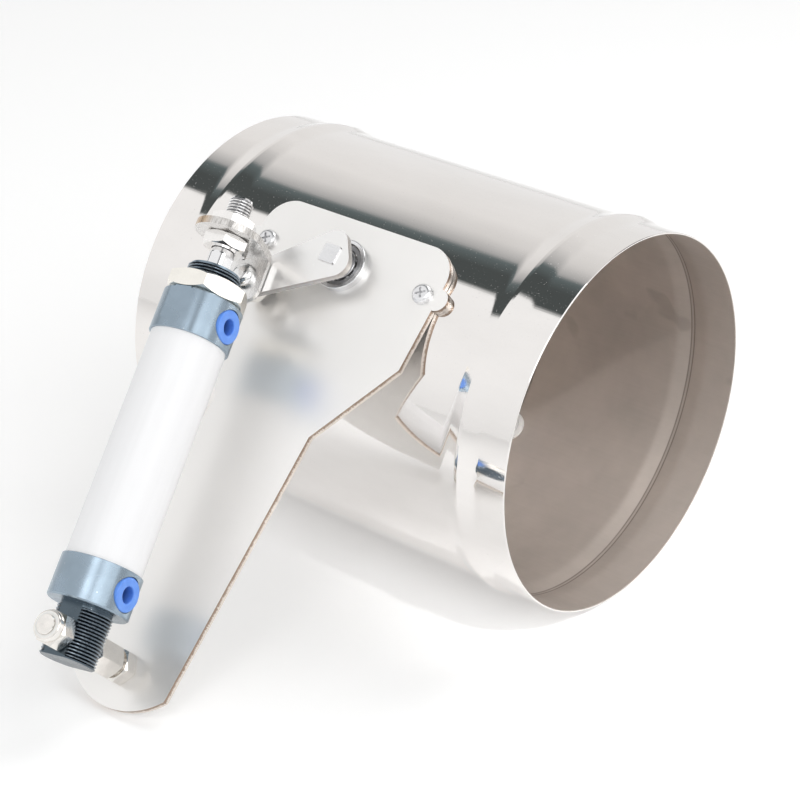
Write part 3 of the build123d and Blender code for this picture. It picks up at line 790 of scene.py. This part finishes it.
front_shape = turned(front_rows, cap_steps, squared=wrench_flats, ring=True)
front_cap = shown("front_cap_threaded", front_shape, bore_place, cap_finish, cap_thread,
                  holes=[port_hole(front_face - front_cap_length / 2)], crease=cap_crease)
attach(front_cap, "cylinder")
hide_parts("front_cap")

rubber = finish_of("black_rubber", Roughness=0.6)
pores = texture(rubber, thrice(0.0008))
feed(
    rubber,
    Base_Color=blended(rubber, spread(rubber, pores, 0, 1), rubber_black, rubber_grey),
    Normal=relief(rubber, pores, pore_depth),
)
boss_nut_finish = metal(
    "nickel_boss_nut", boss_nut_colour, shine=(0.18, 0.26), grain=thrice(0.004), depth=0.000002, cloud=0.01,
    drift=0.05,
)
dress(rubber, "rod_wiper")
dress(boss_nut_finish, "boss_nut")

# Port plugs.
# Moulded blue plugs keep dirt out of the two side ports until a hose is fitted; their hollow is deep,
# and its blue is painted darker towards the bottom as painted shade.
plug_painted_shade_depth = 0.006
plug_blue = (0.11, 0.29, 0.86, 1)
plug_pale_blue = (0.14, 0.34, 0.92, 1)
plug_painted_shade_blue = (0.010, 0.022, 0.07, 1)
moulding_depth = 0.00001
plug_rim = cap_radius - port_face_depth
plug_finish = finish_of("blue_moulded_plug", Roughness=0.32, Coat_Weight=0.2, Coat_Roughness=0.2)
flow = texture(plug_finish, thrice(0.004), detail=2.0)
moulded = texture(plug_finish, thrice(0.0005))
blue = blended(plug_finish, spread(plug_finish, flow, 0, 1), plug_blue, plug_pale_blue)
# Painted shade: the plug's blue darkens towards the bottom of its hollow.
along_port = distance(plug_finish, port_axis, cylinder_origin)
clear_of_painted_shade = spread(plug_finish, along_port, 0, 1, at=(plug_rim - plug_painted_shade_depth, plug_rim))
feed(
    plug_finish,
    Base_Color=blended(plug_finish, clear_of_painted_shade, plug_painted_shade_blue, blue),
    Normal=relief(plug_finish, moulded, moulding_depth),
)
dress(plug_finish, "rear_port_plug", "front_port_plug")

# Piston rod, piston and seals.
# The rod is hard chromed and ground, with wrench flats and a screw thread at its end; inside the
# barrel it carries the turned piston with its two rubber seals.
piston_start = 0.0383
rod_end = 0.186
rod_flat_start = 0.156
rod_flat_length = 0.005
rod_flat_half = 0.004
rod_neck = 0.0035
rod_pitch = 0.00125
rod_thread_depth = 0.00068
rod_tip = 0.0008
rod_steps = 72
rod_crease = radians(20)
chrome_colour = (0.88, 0.88, 0.89, 1)
rod_crest_colour = (0.92, 0.92, 0.92, 1)
rod_groove_shade_colour = (0.30, 0.30, 0.31, 1)
piston_colour = (0.70, 0.71, 0.72, 1)

chrome = metal(
    "ground_hard_chrome", chrome_colour, shine=(0.06, 0.14), grain=(0.004, 0.004, 0.0002), depth=0.000002,
)
rod_thread = grooved(
    "chromed_rod_thread", rod_crest_colour, rod_groove_shade_colour, rod_radius, rod_thread_depth,
    shine=(0.14, 0.26),
)
flat_end = rod_flat_start + rod_flat_length
rod_rows = [
    (0, piston_start), (rod_radius, piston_start), (rod_radius, rod_flat_start),
    (rod_radius, rod_flat_start + shoulder), (rod_radius, flat_end - shoulder), (rod_radius, flat_end),
]
rod_rows += thread(rod_radius, rod_thread_depth, rod_pitch, flat_end + rod_neck, rod_end - rod_tip)
rod_rows += [(rod_radius - rod_tip, rod_end), (0, rod_end)]


def rod_flats(point):
    """Mills the rod's two wrench flats."""
    if rod_flat_start + shoulder / 2 < point.z < flat_end - shoulder / 2:
        point.x = max(-rod_flat_half, min(rod_flat_half, point.x))
    return point


rod_shape = turned(rod_rows, rod_steps, squared=rod_flats)
rod = shown("piston_rod_threaded", rod_shape, bore_place, chrome, rod_thread, crease=rod_crease)
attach(rod, "rod")
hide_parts("piston_rod")
piston_finish = metal(
    "turned_piston_aluminium", piston_colour, shine=(0.2, 0.4), grain=(0.006, 0.006, 0.0002),
    place=bore_place,
)
dress(piston_finish, "piston")
dress(rubber, "piston_seals")

# Rod bracket, rod nuts and pivot pin.
# The bracket is stainless sheet bent to an L: its tab is clamped between two nuts on the rod's
# thread, and its web carries the domed pin of the crank.
tab_start = 0.169
tab_step = 0.0001
tab_edge_turn = (0.3, 0.5)
scorched_side = (-0.004, 0.001)
bracket_colour = (0.88, 0.87, 0.86, 1)
scorch_dark = (0.50, 0.36, 0.25, 1)
scorch_pale = (0.74, 0.58, 0.42, 1)
shear_dark = (0.50, 0.48, 0.46, 1)
shear_pale = (0.82, 0.80, 0.78, 1)
rod_nut_colour = (0.93, 0.91, 0.89, 1)
pin_colour = (0.86, 0.86, 0.86, 1)

bracket_finish = metal(
    "satin_bracket_stainless", bracket_colour, shine=(0.20, 0.32), grain=(0.0005, 0.0005, 0.02),
    place=bore_place, depth=0.000003, cloud=0.02, drift=0.06,
)
along_rod = distance(bracket_finish, rod_axis, cylinder_origin)
on_tab = spread(bracket_finish, along_rod, 0, 1, at=(tab_start - tab_step, tab_start))
upright = sum_of(bracket_finish, "ABSOLUTE", facing(bracket_finish, rod_axis))
on_edge = spread(bracket_finish, upright, 1, 0, at=tab_edge_turn)
tab_edge = sum_of(bracket_finish, "MULTIPLY", on_tab, on_edge)
streaks = texture(bracket_finish, (0.0006, 0.0006, 0.003), bore_place, detail=2.0)
ribs = spread(bracket_finish, streaks, 0, 1)
scorched = blended(bracket_finish, ribs, scorch_dark, scorch_pale)
sheared = blended(bracket_finish, ribs, shear_dark, shear_pale)
across_rod = distance(bracket_finish, port_axis, cylinder_origin)
rightward = spread(bracket_finish, across_rod, 0, 1, at=scorched_side)
cut_edge = blended(bracket_finish, rightward, scorched, sheared)
feed(bracket_finish, Base_Color=blended(bracket_finish, tab_edge, colour_of(bracket_finish), cut_edge))
rod_nut_finish = metal(
    "nickel_rod_nut", rod_nut_colour, shine=(0.14, 0.22), grain=thrice(0.003), depth=0.000002, cloud=0.008,
    drift=0.06,
)
pin_finish = metal("polished_pin_steel", pin_colour, shine=(0.06, 0.12), grain=thrice(0.002))
dress(bracket_finish, "rod_bracket")
dress(rod_nut_finish, "lower_rod_nut", "upper_rod_nut")
dress(pin_finish, "pivot_pin")

# Floor, light and camera.
# A pale floor, a studio of soft white walls with a dark gap overhead, three soft lamps and a narrow
# one into the open end, and a camera that looks down on the open end and the cylinder.
floor_half = 6.0
floor_colour = (*thrice(0.93), 1)
floor_glow = 0.19
white = thrice(1.0)
dark = (0.075, 0.085, 0.085)
over_stops = (
    (-90, thrice(0.90)), (-40, (0.88, 0.87, 0.86)), (-24, (0.75, 0.74, 0.73)), (-13, thrice(0.44)),
    (-9.5, (0.13, 0.16, 0.165)), (0, dark), (13, dark), (15.5, white), (65, white), (90, thrice(0.90)),
)
across_stops = ((-1.0, 1.0), (0.26, 1.0), (0.37, 0.3), (0.48, 0.3), (0.58, 1.0), (0.82, 1.0), (0.95, 0.75))
soft_lamps = (
    ("top_lamp", (0.1, 0.55, 1.1), 0.7, 3.0),
    ("front_lamp", (0.35, -0.96, 1.05), 0.6, 2.0),
    ("side_lamp", (0.96, -0.24, 0.84), 1.2, 5.0),
)
tube_lamp_place = (0.55, -0.25, 0.75)
tube_lamp_target = Vector((-0.038, 0.024, -0.076))
tube_lamp_power = 78.0
tube_lamp_angle = radians(7.0)
tube_lamp_radius = 0.08
camera_place = Vector((0.46526, -0.69854, 0.42602))
camera_target = Vector((-0.10526, -0.01605, -0.01792))
camera_roll = radians(0.965)
camera_lens = 104.95
camera_sensor = 36

floor_mesh = bpy.data.meshes.new("floor")
floor_corners = [(-floor_half, -floor_half, 0), (floor_half, -floor_half, 0), (floor_half, floor_half, 0),
                 (-floor_half, floor_half, 0)]
floor_mesh.from_pydata(floor_corners, [], [(0, 1, 2, 3)])
floor = bpy.data.objects.new("floor", floor_mesh)
floor.location = (shaft_centre.x, 0, cad_box[0].z)
bpy.context.scene.collection.objects.link(floor)
floor_finish = finish_of("pale_floor", Base_Color=floor_colour, Roughness=0.8, Specular_IOR_Level=0.1,
                         Emission_Color=(*white, 1))
path = add_node(floor_finish, "ShaderNodeLightPath")
seen = sum_of(floor_finish, "MAXIMUM", path.outputs["Is Camera Ray"], path.outputs["Is Glossy Ray"])
seen = sum_of(floor_finish, "MAXIMUM", seen, path.outputs["Is Transmission Ray"])
feed(floor_finish, Emission_Strength=sum_of(floor_finish, "MULTIPLY", seen, floor_glow))
floor_mesh.materials.append(floor_finish)

studio = bpy.data.worlds.new("studio")
studio.use_nodes = True
bpy.context.scene.world = studio


def ramp_of(value, stops):
    """A colour socket that runs through stops of (place from 0 to 1, colour)."""
    walls = add_node(studio, "ShaderNodeValToRGB")
    link(studio, value, walls.inputs["Fac"])
    while len(walls.color_ramp.elements) < len(stops):
        walls.color_ramp.elements.new(0.5)
    for element, (place, colour) in zip(walls.color_ramp.elements, stops):
        element.position = place
        element.color = (*colour, 1)
    return walls.outputs["Color"]


direction = add_node(studio, "ShaderNodeTexCoord")
parts = add_node(studio, "ShaderNodeSeparateXYZ")
link(studio, direction.outputs["Generated"], parts.inputs["Vector"])
frontward = sum_of(studio, "MULTIPLY", parts.outputs["Y"], -1.0)
lean = sum_of(studio, "ARCTAN2", frontward, parts.outputs["Z"])
overhead = ramp_of(
    spread(studio, lean, 0, 1, at=(-pi, pi)),
    [((angle + 180) / 360, colour) for angle, colour in over_stops],
)
sideways = ramp_of(
    spread(studio, parts.outputs["X"], 0, 1, at=(-1, 1)),
    [((x + 1) / 2, thrice(level)) for x, level in across_stops],
)
both = add_node(studio, "ShaderNodeMix", data_type="RGBA", blend_type="MULTIPLY", Factor=1.0)
link(studio, overhead, both.inputs[first_colour_input])
link(studio, sideways, both.inputs[second_colour_input])
sky = studio.node_tree.nodes["Background"]
sky.inputs["Strength"].default_value = 1.0
link(studio, both.outputs[mixed_colour_output], sky.inputs["Color"])


def hung(lamp_data, place, target):
    """Hangs a lamp in its place, turned to what it lights."""
    lamp = bpy.data.objects.new(lamp_data.name, lamp_data)
    lamp.location = place
    lamp.rotation_euler = (target - lamp.location).to_track_quat("-Z", "Y").to_euler()
    bpy.context.scene.collection.objects.link(lamp)


for name, place, size, power in soft_lamps:
    soft_lamp = bpy.data.lights.new(name, "AREA")
    soft_lamp.shape = "DISK"
    soft_lamp.size = size
    soft_lamp.energy = power
    hung(soft_lamp, place, shaft_centre)
tube_lamp = bpy.data.lights.new("tube_lamp", "SPOT")
tube_lamp.energy = tube_lamp_power
tube_lamp.spot_size = tube_lamp_angle
tube_lamp.spot_blend = 1.0
tube_lamp.shadow_soft_size = tube_lamp_radius
hung(tube_lamp, tube_lamp_place, tube_lamp_target)

camera_data = bpy.data.cameras.new("camera")
camera_data.sensor_width = camera_sensor
camera_data.lens = camera_lens
camera = bpy.data.objects.new("camera", camera_data)
aim = (camera_target - camera_place).to_track_quat("-Z", "Y").to_matrix().to_4x4()
camera.matrix_world = Matrix.Translation(camera_place) @ aim @ Matrix.Rotation(camera_roll, 4, "Z")
bpy.context.scene.collection.objects.link(camera)
bpy.context.scene.camera = camera
bpy.context.scene.view_settings.view_transform = "Standard"
